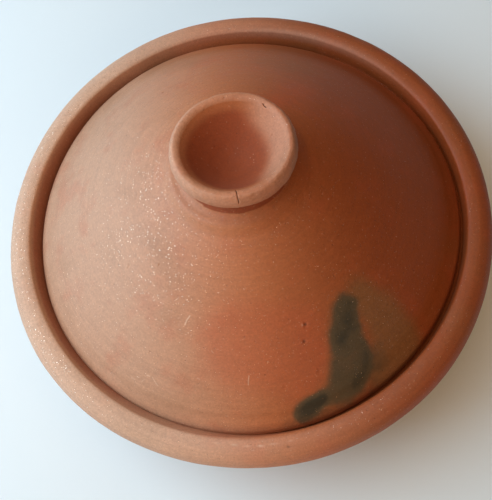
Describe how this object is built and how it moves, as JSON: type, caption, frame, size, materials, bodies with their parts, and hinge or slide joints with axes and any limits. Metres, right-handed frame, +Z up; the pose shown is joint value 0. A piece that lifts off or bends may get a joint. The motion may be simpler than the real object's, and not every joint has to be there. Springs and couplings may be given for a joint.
{
  "type": "earthenware tagine pot with lid",
  "caption": "Round earthenware tagine: a shallow flat-bottomed dish with a rolled rim, closed by a domed conical lid that rests inside the rim and has a cup-shaped knob.",
  "frame": {"origin": "middle of the dish's flat foot, on the table", "axes": "+Z up through the knob; the piece is turned about Z, so X and Y are level and free, with -Y the side that the picture was taken from"},
  "size_m": [0.2997, 0.3001, 0.1668],
  "materials": {
    "terracotta": "unglazed fired clay, matt with a faint burnish"
  },
  "bodies": {
    "root": {"dish": "terracotta", "lid": "terracotta"}
  },
  "joints": []
}
